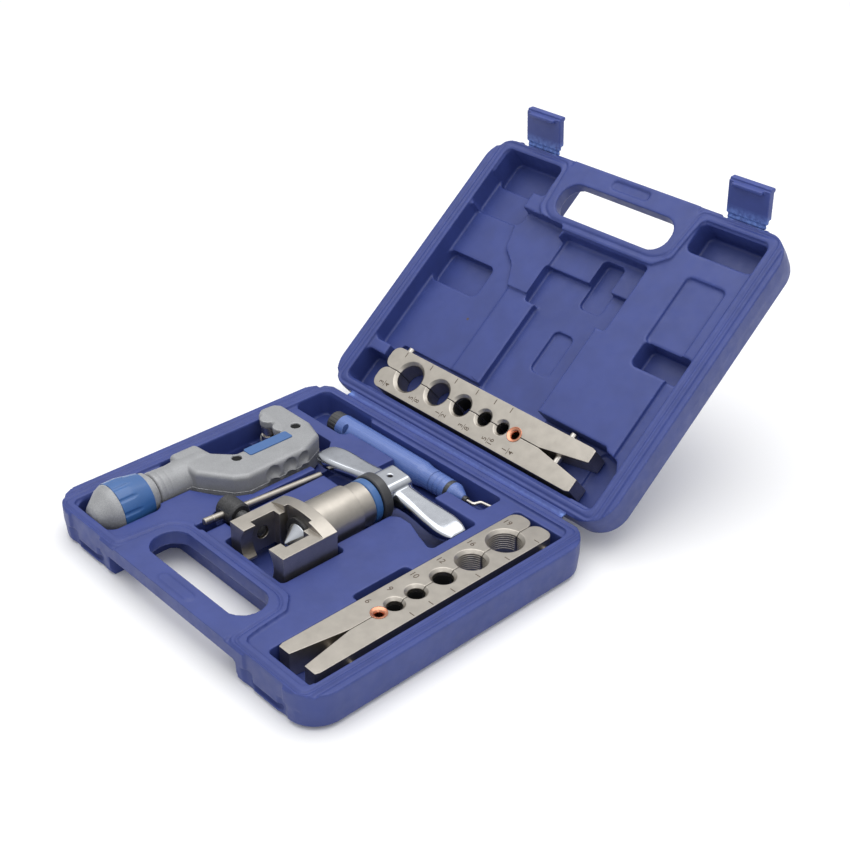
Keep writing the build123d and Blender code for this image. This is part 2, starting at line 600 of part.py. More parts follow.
# ---------------------------------------------------------------- write every piece
def main():
    os.makedirs("parts", exist_ok=True)
    save("base_shell", base_shell())
    save("lid_shell", lid_shell())
    save("hinge_web_base", hinge_flap(HALF_H - 1.4, HALF_H))
    save("hinge_web_lid", opened(hinge_flap(HALF_H + PARTING_GAP, HALF_H + PARTING_GAP + 1.4)))
    save("latch_left", latch(-LATCH_X))
    save("latch_right", latch(LATCH_X))
    save("cutter_frame", cutter_frame())
    save("frame_plugs", *frame_plugs())
    save("cutter_inlay", cutter_inlay())
    save("cutter_cap", cutter_cap())
    save("cutter_grip", cutter_grip())
    save("cutter_collar", cutter_collar())
    save("cutter_feed_sleeve", feed_sleeve())
    save("cutter_carriage", cutter_carriage())
    save("cutting_wheel", cutting_wheel())
    save("wheel_pin", wheel_pin())
    save("head_roller_left", head_roller(-1))
    save("head_roller_right", head_roller(1))
    save("roller_pins", *roller_pins())
    save("flare_yoke", flare_yoke())
    save("feed_ring_blue", ring(14.0, 27.7, 33.2))
    save("feed_ring_black", ring(15.1, 33.4, 40.2))
    save("feed_spindle", feed_spindle())
    save("cone_carrier", cone_carrier())
    save("flare_cone", flare_cone())
    save("feed_handle", feed_handle())
    save("handle_pin", *handle_pin())
    save("clamp_screw", clamp_screw())
    save("clamp_hub", clamp_hub())
    save("clamp_pad", clamp_pad())
    save("tommy_bar", tommy_bar())
    save("deburr_cap", pen_cap())
    save("deburr_body", pen_body())
    save("deburr_band", pen_band())
    save("deburr_nose", pen_nose())
    save("deburr_chuck", pen_chuck())
    save("deburr_blade", pen_blade())
    save("metric_bar_fixed", place_metric(bar_half(-1, METRIC, False)))
    save("metric_bar_loose", place_metric(bar_half(1, METRIC, True)))
    save("metric_bar_pins", *[place_metric(p) for p in bar_pins()])
    save("metric_copper_flare", place_metric(copper_flare(METRIC[0])))
    save("inch_bar_fixed", place_inch(bar_half(-1, INCH, False)))
    save("inch_bar_loose", place_inch(bar_half(1, INCH, True)))
    save("inch_bar_pins", *[place_inch(p) for p in bar_pins()])
    save("inch_copper_flare", place_inch(copper_flare(INCH[0])))


main()
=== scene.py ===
"""Looks of an open flaring tool kit: a moulded case, its tools and its bars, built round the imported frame."""
import json
import math

import bmesh
import bpy
from bpy.props import FloatProperty, FloatVectorProperty, IntProperty, PointerProperty
from mathutils import Matrix, Vector, noise

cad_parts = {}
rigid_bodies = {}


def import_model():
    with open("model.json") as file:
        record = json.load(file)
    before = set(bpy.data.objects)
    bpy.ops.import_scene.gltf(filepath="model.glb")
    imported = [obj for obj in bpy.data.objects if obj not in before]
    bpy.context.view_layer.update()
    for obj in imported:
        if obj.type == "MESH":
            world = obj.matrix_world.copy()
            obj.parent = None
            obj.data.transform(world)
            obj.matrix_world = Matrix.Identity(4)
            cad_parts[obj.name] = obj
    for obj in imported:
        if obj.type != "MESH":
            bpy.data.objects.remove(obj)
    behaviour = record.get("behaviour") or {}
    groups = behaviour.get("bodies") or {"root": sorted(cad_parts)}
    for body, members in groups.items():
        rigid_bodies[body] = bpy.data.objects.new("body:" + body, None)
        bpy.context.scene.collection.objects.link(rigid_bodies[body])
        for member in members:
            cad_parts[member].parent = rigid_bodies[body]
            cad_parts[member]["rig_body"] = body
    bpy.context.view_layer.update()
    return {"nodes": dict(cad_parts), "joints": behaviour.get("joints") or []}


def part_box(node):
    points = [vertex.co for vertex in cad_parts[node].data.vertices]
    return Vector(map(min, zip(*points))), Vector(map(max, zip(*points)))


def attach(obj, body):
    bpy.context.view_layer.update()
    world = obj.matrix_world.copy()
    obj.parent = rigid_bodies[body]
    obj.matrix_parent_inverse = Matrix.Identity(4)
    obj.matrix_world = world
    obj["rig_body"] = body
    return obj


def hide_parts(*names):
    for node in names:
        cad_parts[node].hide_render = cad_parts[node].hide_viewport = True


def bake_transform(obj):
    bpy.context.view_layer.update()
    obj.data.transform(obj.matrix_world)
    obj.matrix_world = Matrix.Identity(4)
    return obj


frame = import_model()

bl_info = {
    "name": "Flaring tool kit looks",
    "version": (1, 0, 0),
    "blender": (4, 5, 0),
    "location": "View3D > Sidebar > Flaring kit",
    "description": "Finishes, soft moulded shells and small details of a flaring tool kit",
    "category": "Object",
}

MM = 0.001
JOINTS = {joint["name"]: joint for joint in frame["joints"]}
HINGE = Vector(JOINTS["lid_hinge"]["pos_m"])
LID_OPEN = math.radians(-JOINTS["lid_hinge"]["range_deg"][0])
# Takes a place on the shut lid to where it is with the lid open.
LID = Matrix.Translation(HINGE) @ Matrix.Rotation(-LID_OPEN, 4, "X") @ Matrix.Translation(-HINGE)
FLAT = Matrix.Identity(4)


# ---------------------------------------------------------------- sizes and colours
def colour(name, description, value):
    return FloatVectorProperty(name=name, description=description, subtype="COLOR", size=3, min=0, max=1,
                               default=value)


def length(name, description, value):
    return FloatProperty(name=name, description=description, default=value, unit="LENGTH", precision=5)


class CaseSettings(bpy.types.PropertyGroup):
    """The moulded case."""
    blue: colour("Case blue", "Colour of the moulded halves", (0.032, 0.050, 0.200))
    stressed: colour("Bent plastic", "Colour of the plastic where it has been bent", (0.16, 0.27, 0.66))
    voxel: length("Shell detail", "Voxel size of the softened shells", 0.75 * MM)
    passes: IntProperty(name="Softening", description="Smoothing passes on the shells", default=2, min=0)
    keep: FloatProperty(name="Share kept", description="Share of the shells' triangles that is kept", default=0.26)
    groove: length("Groove radius", "Radius of the rim's second channel", 1.15 * MM)
    latch_voxel: length("Latch detail", "Voxel size of the softened latches", 0.45 * MM)
    web: length("Web thickness", "Thickness of the bending webs", 0.8 * MM)


class CutterSettings(bpy.types.PropertyGroup):
    """The tube cutter."""
    enamel: colour("Casting enamel", "Colour of the cast frame", (0.31, 0.315, 0.325))
    grip: colour("Grip blue", "Colour of the knob's sleeve and the inlay", (0.030, 0.105, 0.290))
    voxel: length("Casting detail", "Voxel size of the softened casting", 0.5 * MM)
    passes: IntProperty(name="Casting softness", description="Smoothing passes on the casting", default=8, min=0)
    seam: length("Seam radius", "Radius of the raised parting seam", 0.22 * MM)


class ToolSettings(bpy.types.PropertyGroup):
    """The flaring tool and the pen."""
    nickel: colour("Nickel", "Colour of the satin nickel", (0.42, 0.390, 0.348))
    chrome: colour("Chrome", "Colour of the bright chrome", (0.46, 0.48, 0.52))
    black: colour("Black oxide", "Colour of the blackened steel", (0.028, 0.028, 0.030))
    pen: colour("Pen blue", "Colour of the pen's plastic", (0.085, 0.145, 0.390))
    break_edge: length("Broken edge", "Width of the broken edges on machined pieces", 0.30 * MM)
    voxel: length("Handle detail", "Voxel size of the softened handle", 0.4 * MM)
    passes: IntProperty(name="Handle softness", description="Smoothing passes on the handle", default=14, min=0)


class BarSettings(bpy.types.PropertyGroup):
    """The two flaring bars."""
    copper: colour("Copper", "Colour of the flared tube ends", (0.62, 0.27, 0.17))
    mark: colour("Marks", "Colour inside the engraved marks", (0.085, 0.065, 0.050))
    figure: length("Figure height", "Height of the engraved figures", 4.1 * MM)
    tick: length("Tick length", "Length of the engraved lines", 4.2 * MM)
    ridge: length("Ridge size", "Half width of a gripping ridge in a hole", 0.22 * MM)
    pitch: length("Ridge pitch", "Distance between gripping ridges", 1.5 * MM)


class StageSettings(bpy.types.PropertyGroup):
    """Floor, lights and camera."""
    floor: colour("Floor", "Colour of the floor", (0.86, 0.86, 0.86))
    lens: FloatProperty(name="Lens", description="Focal length in millimetres", default=59.3)
    azimuth: FloatProperty(name="Azimuth", description="Where the camera stands", default=math.radians(46.61),
                           subtype="ANGLE")
    elevation: FloatProperty(name="Elevation", description="How high the camera stands",
                             default=math.radians(31.55), subtype="ANGLE")
    roll: FloatProperty(name="Roll", description="Turn about the line of sight", default=math.radians(0.63),
                        subtype="ANGLE")


def settings(group):
    return getattr(bpy.context.scene, "flaring_kit_" + group)


# ---------------------------------------------------------------- material nodes
class Finish:
    """Builds one material's nodes on Object coordinates."""

    def __init__(self, name, base, roughness, metallic=0.0):
        self.material = bpy.data.materials.new(name)
        self.material.use_nodes = True
        self.nodes = self.material.node_tree.nodes
        self.links = self.material.node_tree.links
        self.shader = self.nodes["Principled BSDF"]
        self.set("Base Color", (*base, 1.0))
        self.set("Roughness", roughness)
        self.set("Metallic", metallic)
        self.place = self.nodes.new("ShaderNodeTexCoord").outputs["Object"]

    def set(self, socket, value):
        self.shader.inputs[socket].default_value = value

    def feed(self, output, socket):
        self.links.new(output, self.shader.inputs[socket])

    def noise(self, size, detail=2.0, stretch=(1.0, 1.0, 1.0)):
        """Noise whose grains are about size metres across, stretched along the axes."""
        mapping = self.nodes.new("ShaderNodeMapping")
        mapping.inputs["Scale"].default_value = [1.0 / (size * s) for s in stretch]
        self.links.new(self.place, mapping.inputs["Vector"])
        texture = self.nodes.new("ShaderNodeTexNoise")
        texture.inputs["Scale"].default_value = 1.0
        texture.inputs["Detail"].default_value = detail
        self.links.new(mapping.outputs["Vector"], texture.inputs["Vector"])
        return texture.outputs["Fac"]

    def levels(self, value, low, high, out_low=0.0, out_high=1.0):
        """A value between two limits, brought to another range."""
        node = self.nodes.new("ShaderNodeMapRange")
        for name, number in (("From Min", low), ("From Max", high), ("To Min", out_low), ("To Max", out_high)):
            node.inputs[name].default_value = number
        self.links.new(value, node.inputs["Value"])
        return node.outputs["Result"]

    def mixed(self, share, first, second):
        """One colour turning into another; each is a colour or an output."""
        node = self.nodes.new("ShaderNodeMix")
        node.data_type = "RGBA"
        self.links.new(share, node.inputs["Factor"])
        for name, value in (("A", first), ("B", second)):
            socket = [s for s in node.inputs if s.name == name and s.type == "RGBA"][0]
            if isinstance(value, bpy.types.NodeSocket):
                self.links.new(value, socket)
            else:
                socket.default_value = (*value, 1.0)
        return [s for s in node.outputs if s.type == "RGBA"][0]

    def product(self, first, second):
        node = self.nodes.new("ShaderNodeMath")
        node.operation = "MULTIPLY"
        self.links.new(first, node.inputs[0])
        self.links.new(second, node.inputs[1])
        return node.outputs["Value"]

    def attribute(self, name):
        node = self.nodes.new("ShaderNodeAttribute")
        node.attribute_name = name
        return node.outputs["Fac"]

    def edges(self, low=0.505, high=0.56):
        """Where the surface is convex, as on a worn edge."""
        return self.levels(self.nodes.new("ShaderNodeNewGeometry").outputs["Pointiness"], low, high)

    def bump(self, height, strength, distance):
        node = self.nodes.new("ShaderNodeBump")
        node.inputs["Strength"].default_value = strength
        node.inputs["Distance"].default_value = distance
        self.links.new(height, node.inputs["Height"])
        self.feed(node.outputs["Normal"], "Normal")


def shade(base, factor):
    return tuple(min(1.0, c * factor) for c in base)


def moulded_plastic(name, base, stressed):
    """Satin polyethylene: fine grain, faint clouds, scuffed edges and whitened bends."""
    f = Finish(name, base, 0.46)
    f.set("Specular IOR Level", 0.42)
    clouds = f.levels(f.noise(18 * MM, 3.0), 0.35, 0.65)
    body = f.mixed(clouds, shade(base, 0.93), shade(base, 1.07))
    scuff = f.product(f.edges(), f.levels(f.noise(1.6 * MM, 4.0), 0.5, 0.72, 0.0, 0.55))
    worn = f.mixed(scuff, body, shade(base, 1.9))
    bent = f.product(f.attribute("bend"), f.levels(f.noise(2.5 * MM, 3.0), 0.25, 0.6))
    f.feed(f.mixed(bent, worn, stressed), "Base Color")
    f.feed(f.levels(f.noise(6 * MM, 4.0), 0.3, 0.7, 0.38, 0.54), "Roughness")
    f.bump(f.noise(0.35 * MM, 3.0), 0.30, 0.06 * MM)
    return f.material


def gloss_plastic(name, base, roughness=0.24):
    """Injection moulded plastic with a soft shine and fine handling scratches."""
    f = Finish(name, base, roughness)
    f.set("Coat Weight", 0.25)
    f.set("Coat Roughness", 0.12)
    drift = f.levels(f.noise(9 * MM, 2.0), 0.35, 0.65)
    scuff = f.product(f.edges(0.54, 0.62), f.levels(f.noise(1.2 * MM, 4.0), 0.5, 0.7, 0.0, 0.4))
    f.feed(f.mixed(scuff, f.mixed(drift, shade(base, 0.97), shade(base, 1.03)), shade(base, 1.6)), "Base Color")
    scratches = f.noise(0.5 * MM, 2.0, (14.0, 1.0, 1.0))
    f.feed(f.levels(scratches, 0.35, 0.75, roughness * 0.85, roughness * 1.5), "Roughness")
    f.bump(f.noise(1.2 * MM, 2.0), 0.12, 0.05 * MM)
    return f.material


def cast_enamel(name, base):
    """Silver-grey enamel over a casting: metallic specks and a faint orange peel."""
    f = Finish(name, base, 0.46, 0.25)
    specks = f.levels(f.noise(0.22 * MM, 2.0), 0.42, 0.66)
    tone = f.mixed(specks, shade(base, 0.80), shade(base, 1.22))
    patches = f.levels(f.noise(11 * MM, 3.0), 0.4, 0.68, 0.0, 0.35)
    worn = f.mixed(f.product(f.edges(0.51, 0.58), f.levels(f.noise(1.5 * MM, 3.0), 0.45, 0.65)),
                   f.mixed(patches, tone, shade(base, 0.72)), shade(base, 1.75))
    f.feed(worn, "Base Color")
    f.feed(f.levels(f.noise(0.5 * MM, 2.0), 0.3, 0.7, 0.36, 0.55), "Roughness")
    f.bump(f.noise(0.7 * MM, 3.0), 0.35, 0.08 * MM)
    return f.material


def satin_metal(name, base, roughness=0.34, along=(1.0, 1.0, 1.0)):
    """Blasted and plated steel, with fine machining lines along one way."""
    f = Finish(name, base, roughness, 1.0)
    lines = f.noise(0.12 * MM, 2.0, along)
    drift = f.levels(f.noise(7 * MM, 3.0), 0.3, 0.7)
    tone = f.mixed(drift, shade(base, 0.92), shade(base, 1.06))
    bright = f.product(f.edges(0.54, 0.63), f.levels(f.noise(0.9 * MM, 3.0), 0.4, 0.6))
    f.feed(f.mixed(bright, tone, shade(base, 1.35)), "Base Color")
    f.feed(f.levels(lines, 0.3, 0.7, roughness - 0.07, roughness + 0.09), "Roughness")
    f.bump(lines, 0.12, 0.02 * MM)
    return f.material


def polished_metal(name, base, roughness=0.07):
    """Bright plating with faint smears and a slightly wavy, hand-buffed surface."""
    f = Finish(name, base, roughness, 1.0)
    smears = f.levels(f.noise(5 * MM, 4.0), 0.45, 0.75)
    f.feed(f.mixed(smears, base, shade(base, 0.9)), "Base Color")
    f.feed(f.levels(f.noise(3 * MM, 4.0), 0.4, 0.8, roughness, roughness * 2.6), "Roughness")
    f.bump(f.noise(6 * MM, 1.0), 0.10, 0.15 * MM)
    return f.material


def dark_steel(name, base):
    """Black oxide, rubbed to grey on its edges."""
    f = Finish(name, base, 0.38, 0.55)
    rubbed = f.product(f.edges(0.505, 0.57), f.levels(f.noise(0.8 * MM, 3.0), 0.35, 0.6))
    drift = f.levels(f.noise(3 * MM, 3.0), 0.35, 0.65)
    f.feed(f.mixed(rubbed, f.mixed(drift, base, shade(base, 1.6)), (0.13, 0.13, 0.13)), "Base Color")
    f.feed(f.levels(f.noise(0.6 * MM, 3.0), 0.3, 0.7, 0.30, 0.50), "Roughness")
    f.bump(f.noise(0.3 * MM, 2.0), 0.25, 0.04 * MM)
    return f.material


def engraved_mark(name, base):
    """The dull bottom of an engraved mark."""
    f = Finish(name, base, 0.75)
    f.set("Specular IOR Level", 0.15)
    f.feed(f.mixed(f.levels(f.noise(0.3 * MM, 2.0), 0.3, 0.7), shade(base, 0.7), shade(base, 1.6)), "Base Color")
    f.bump(f.noise(0.15 * MM, 2.0), 0.4, 0.03 * MM)
    return f.material


def pale_floor(name, base):
    """Plain matt board."""
    f = Finish(name, base, 0.85)
    f.feed(f.mixed(f.noise(0.25, 2.0), shade(base, 0.99), shade(base, 1.01)), "Base Color")
    return f.material


def make_finishes():
    case, cutter, tool, bar = (settings(g) for g in ("case", "cutter", "tool", "bar"))
    FINISHES.update({
        "case_blue": moulded_plastic("case_blue", case.blue, case.stressed),
        "latch_blue": moulded_plastic("latch_blue", shade(case.blue, 1.15), case.stressed),
        "grip_blue": gloss_plastic("grip_blue", cutter.grip, 0.34),
        "pen_blue": gloss_plastic("pen_blue", tool.pen),
        "cast_grey": cast_enamel("cast_grey", cutter.enamel),
        "dark_steel": dark_steel("dark_steel", tool.black),
        "roller_steel": satin_metal("roller_steel", (0.52, 0.49, 0.45), 0.26),
        "nickel": satin_metal("nickel", tool.nickel, 0.36),
        "chrome": polished_metal("chrome", tool.chrome),
        "black_plastic": gloss_plastic("black_plastic", (0.030, 0.031, 0.034), 0.40),
        "copper": polished_metal("copper", bar.copper, 0.16),
    })
    MARKS["engraved"] = engraved_mark("engraved", bar.mark)
    # The plugs' and the handle pin's own black; the same finish lines the smaller bores of the bars as painted
    # shade.
    MARKS["black"] = engraved_mark("plug_black", shade(tool.black, 0.3))


FINISHES = {}
MARKS = {}


# ---------------------------------------------------------------- mesh helpers
def welded(node):
    """A merged copy of a CAD node's mesh."""
    source = frame["nodes"][node].data
    mesh = bpy.data.meshes.new(node + "_welded")
    mesh.from_pydata([v.co for v in source.vertices], [], [p.vertices[:] for p in source.polygons])
    bm = bmesh.new()
    bm.from_mesh(mesh)
    bmesh.ops.remove_doubles(bm, verts=bm.verts, dist=0.002 * MM)
    bm.to_mesh(mesh)
    bm.free()
    return mesh


def linked(name, mesh):
    obj = bpy.data.objects.new(name, mesh)
    bpy.context.scene.collection.objects.link(obj)
    return obj


def settle(obj):
    """Turn the object's modifiers into plain mesh."""
    graph = bpy.context.evaluated_depsgraph_get()
    mesh = bpy.data.meshes.new_from_object(obj.evaluated_get(graph))
    obj.modifiers.clear()
    obj.data = mesh
    return obj


def finished(obj, body, slot, *replaced, material=None):
    """Give a piece its finish, its body and the CAD nodes that it stands for."""
    obj.data.materials.clear()
    obj.data.materials.append(material or FINISHES[slot])
    obj.data.name = obj.name
    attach(obj, body)
    if replaced:
        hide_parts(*replaced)
    return obj


def body_of(node):
    return frame["nodes"][node]["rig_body"]


def softened(node, slot, voxel, passes, keep=1.0, turn=FLAT, paint=None, carve=None):
    """A CAD node remade with rounded edges, as moulded or cast; carve is a mesh that is taken away."""
    mesh = welded(node)
    mesh.transform(turn.inverted())
    obj = linked(node + "_soft", mesh)
    if carve:
        tool = linked(node + "_carve", carve)
        cut = obj.modifiers.new("carve", "BOOLEAN")
        cut.operation = "DIFFERENCE"
        cut.solver = "EXACT"
        cut.object = tool
        settle(obj)
        bpy.data.objects.remove(tool)
    remesh = obj.modifiers.new("remesh", "REMESH")
    remesh.mode = "VOXEL"
    remesh.voxel_size = voxel
    smooth = obj.modifiers.new("smooth", "SMOOTH")
    smooth.factor = 0.5
    smooth.iterations = passes
    if keep < 1.0:
        obj.modifiers.new("decimate", "DECIMATE").ratio = keep
    settle(obj)
    obj.data.shade_smooth()
    obj.modifiers.new("weighted", "WEIGHTED_NORMAL").weight = 80
    settle(obj)
    if paint:
        paint(obj.data)
    obj.data.transform(turn)
    return finished(obj, body_of(node), slot, node)


def crisp(node, slot, width, turn=FLAT, angle=32.0):
    """A CAD node with its edges broken, as machined."""
    mesh = welded(node)
    mesh.transform(turn.inverted())
    bm = bmesh.new()
    bm.from_mesh(mesh)
    bmesh.ops.dissolve_limit(bm, angle_limit=math.radians(0.5), verts=bm.verts, edges=bm.edges)
    bm.to_mesh(mesh)
    bm.free()
    mesh.transform(turn)
    obj = linked(node + "_crisp", mesh)
    bevel = obj.modifiers.new("bevel", "BEVEL")
    bevel.limit_method = "ANGLE"
    bevel.angle_limit = math.radians(angle)
    bevel.width = width
    bevel.segments = 2
    bevel.use_clamp_overlap = False
    obj.modifiers.new("triangulate", "TRIANGULATE")
    weighted = obj.modifiers.new("weighted", "WEIGHTED_NORMAL")
    weighted.keep_sharp = True
    obj.data.shade_smooth()
    settle(obj)
    return finished(obj, body_of(node), slot, node)


def smooth_line(points, steps):
    """A Catmull-Rom line through the points."""
    ends = [points[0] * 2 - points[1], *points, points[-1] * 2 - points[-2]]
    line = []
    for a, b, c, d in zip(ends, ends[1:], ends[2:], ends[3:]):
        for i in range(steps):
            t = i / steps
            line.append(0.5 * ((2 * b) + (c - a) * t + (2 * a - 5 * b + 4 * c - d) * t * t
                               + (3 * b - a - 3 * c + d) * t ** 3))
    line.append(points[-1])
    return line


def web_strip(name, line, x0, x1, thickness, ragged):
    """A thin bending web: the (y, z) line drawn out along X, thinnest in the middle."""
    columns = max(6, round((x1 - x0) / (2.5 * MM)))
    normals = []
    for before, after in zip([line[0], *line[:-1]], [*line[1:], line[-1]]):
        along = (after - before).normalized()
        normals.append(Vector((-along.y, along.x)))
    bm = bmesh.new()
    rings = []
    for i in range(columns + 1):
        x = x0 + (x1 - x0) * i / columns
        end = 1.0 if i in (0, columns) else 0.0
        ring = []
        for side in (1, -1):
            order = range(len(line)) if side > 0 else reversed(range(len(line)))
            for k in order:
                share = k / (len(line) - 1)
                half = thickness / 2 * (0.45 + 0.55 * abs(2 * share - 1))
                jitter = end * ragged * noise.noise(Vector((x * 90, k * 1.7, side)))
                p = line[k] + normals[k] * half * side
                ring.append(bm.verts.new((x + jitter, p.x, p.y)))
        rings.append(ring)
    count = len(rings[0])
    for a, b in zip(rings, rings[1:]):
        for k in range(count):
            bm.faces.new((a[k], b[k], b[(k + 1) % count], a[(k + 1) % count]))
    bm.faces.new(rings[0])
    bm.faces.new(list(reversed(rings[-1])))
    bmesh.ops.recalc_face_normals(bm, faces=bm.faces)
    mesh = bpy.data.meshes.new(name)
    bm.to_mesh(mesh)
    bm.free()
    bend = mesh.attributes.new("bend", "FLOAT", "POINT")
    middle = line[len(line) // 2]
    reach = (line[-1] - line[0]).length / 2
    for i, v in enumerate(mesh.vertices):
        near_end = max(0.0, 1.0 - min(v.co.x - x0, x1 - v.co.x) / (6 * MM))
        off = (Vector((v.co.y, v.co.z)) - middle).length / reach
        bend.data[i].value = max(0.0, 1.1 - off) * (0.16 + 0.84 * near_end)
    mesh.shade_smooth()
    return linked(name, mesh)


def blended(obj, slot, first, second, start, end, *replaced):
    """A web between two bodies: it takes its finish, the CAD nodes that it stands for are hidden and its place is
    baked into its mesh.
    """
    obj.data.materials.append(FINISHES[slot])
    if replaced:
        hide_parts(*replaced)
    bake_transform(obj)


# ---------------------------------------------------------------- geometry node trees
def new_tree(name, inputs):
    tree = bpy.data.node_groups.new(name, "GeometryNodeTree")
    tree.interface.new_socket("Geometry", in_out="INPUT", socket_type="NodeSocketGeometry")
    for label, kind in inputs:
        tree.interface.new_socket(label, in_out="INPUT", socket_type="NodeSocket" + kind)
    tree.interface.new_socket("Geometry", in_out="OUTPUT", socket_type="NodeSocketGeometry")
    return tree, tree.nodes.new("NodeGroupInput"), tree.nodes.new("NodeGroupOutput")


def ring_stack_tree():
    """Arcs one under another, such as the gripping ridges in a hole or the turns of a thread."""
    tree, given, out = new_tree("ring_stack", (("Radius", "Float"), ("Start", "Float"), ("Sweep", "Float"),
                                               ("Wire", "Float"), ("Pitch", "Float"), ("Count", "Int"),
                                               ("Material", "Material")))
    link = tree.links.new
    arc = tree.nodes.new("GeometryNodeCurveArc")
    arc.inputs["Resolution"].default_value = 24
    link(given.outputs["Radius"], arc.inputs["Radius"])
    link(given.outputs["Start"], arc.inputs["Start Angle"])
    link(given.outputs["Sweep"], arc.inputs["Sweep Angle"])
    wire = tree.nodes.new("GeometryNodeCurvePrimitiveCircle")
    wire.inputs["Resolution"].default_value = 6
    link(given.outputs["Wire"], wire.inputs["Radius"])
    tube = tree.nodes.new("GeometryNodeCurveToMesh")
    tube.inputs["Fill Caps"].default_value = True
    link(arc.outputs["Curve"], tube.inputs["Curve"])
    link(wire.outputs["Curve"], tube.inputs["Profile Curve"])
    down = tree.nodes.new("ShaderNodeMath")
    down.operation = "MULTIPLY"
    down.inputs[1].default_value = -1.0
    link(given.outputs["Pitch"], down.inputs[0])
    step = tree.nodes.new("ShaderNodeCombineXYZ")
    link(down.outputs["Value"], step.inputs["Z"])
    line = tree.nodes.new("GeometryNodeMeshLine")
    link(given.outputs["Count"], line.inputs["Count"])
    link(step.outputs["Vector"], line.inputs["Offset"])
    copies = tree.nodes.new("GeometryNodeInstanceOnPoints")
    link(line.outputs["Mesh"], copies.inputs["Points"])
    link(tube.outputs["Mesh"], copies.inputs["Instance"])
    finish_tree(tree, copies.outputs["Instances"], given, out)
    return tree


def tube_tree():
    """A thin round bead along the edges of a mesh, such as a parting seam."""
    tree, given, out = new_tree("bead_along_edges", (("Wire", "Float"), ("Spacing", "Float"),
                                                     ("Material", "Material")))
    link = tree.links.new
    line = tree.nodes.new("GeometryNodeMeshToCurve")
    link(given.outputs["Geometry"], line.inputs["Mesh"])
    even = tree.nodes.new("GeometryNodeResampleCurve")
    even.mode = "LENGTH"
    link(line.outputs["Curve"], even.inputs["Curve"])
    link(given.outputs["Spacing"], even.inputs["Length"])
    wire = tree.nodes.new("GeometryNodeCurvePrimitiveCircle")
    wire.inputs["Resolution"].default_value = 6
    link(given.outputs["Wire"], wire.inputs["Radius"])
    tube = tree.nodes.new("GeometryNodeCurveToMesh")
    tube.inputs["Fill Caps"].default_value = True
    link(even.outputs["Curve"], tube.inputs["Curve"])
    link(wire.outputs["Curve"], tube.inputs["Profile Curve"])
    finish_tree(tree, tube.outputs["Mesh"], given, out)
    return tree


def finish_tree(tree, geometry, given, out):
    """Every tree ends in real geometry with its material."""
    real = tree.nodes.new("GeometryNodeRealizeInstances")
    dressed = tree.nodes.new("GeometryNodeSetMaterial")
    tree.links.new(geometry, real.inputs["Geometry"])
    tree.links.new(real.outputs["Geometry"], dressed.inputs["Geometry"])
    tree.links.new(given.outputs["Material"], dressed.inputs["Material"])
    tree.links.new(dressed.outputs["Geometry"], out.inputs["Geometry"])


def grown(tree, values, mesh=None):
    """The plain mesh that a tree makes with these inputs."""
    obj = linked("growing", mesh or bpy.data.meshes.new("empty"))
    modifier = obj.modifiers.new("nodes", "NODES")
    modifier.node_group = tree
    sockets = {s.name: s.identifier for s in tree.interface.items_tree if s.in_out == "INPUT"}
    for name, value in values.items():
        modifier[sockets[name]] = value
    settle(obj)
    made = obj.data
    bpy.data.objects.remove(obj)
    return made


def joined(name, meshes):
    """Several (mesh, place) pairs as one mesh object."""
    bm = bmesh.new()
    for mesh, place in meshes:
        part = mesh.copy()
        part.transform(place)
        bm.from_mesh(part)
        bpy.data.meshes.remove(part)
    bmesh.ops.recalc_face_normals(bm, faces=bm.faces)
    whole = bpy.data.meshes.new(name)
    bm.to_mesh(whole)
    bm.free()
    return linked(name, whole)


# ---------------------------------------------------------------- the case
VENT = Vector((-60.0, 22.0, 37.3)) * MM        # on the pocket's floor, in the shut lid
PARTING = 0.3 * MM                             # play between the shut halves
# Right half of the rim's second channel, from the carrying slot round to the hinge, in millimetres.
GROOVE_HALF = ((43.0, -61.0), (52.0, -67.0), (53.8, -86.0), (55.5, -101.6), (113.0, -101.6), (113.0, 101.5))
GROOVE_CORNER = 5.0 * MM
VENT_RADIUS, VENT_DEPTH = 0.9 * MM, 0.08 * MM
LATCH_PASSES = 3
WHITENED = 9 * MM                              # how far from a latch's pivot the plastic is whitened
GROOVE_LINE = [Vector(p) * MM for p in GROOVE_HALF]
GROOVE_LINE += [Vector((-p.x, p.y)) for p in reversed(GROOVE_LINE)]


def rounded_loop(corners, radius):
    """A closed plan line through the corners, each cut back and bowed."""
    points = []
    for before, corner, after in zip([corners[-1], *corners[:-1]], corners, [*corners[1:], corners[0]]):
        a, b = (before - corner), (after - corner)
        cut = min(radius, a.length / 2.2, b.length / 2.2)
        start, end = corner + a.normalized() * cut, corner + b.normalized() * cut
        for i in range(6):
            t = i / 5
            points.append(start.lerp(corner, t).lerp(corner.lerp(end, t), t))
    return points


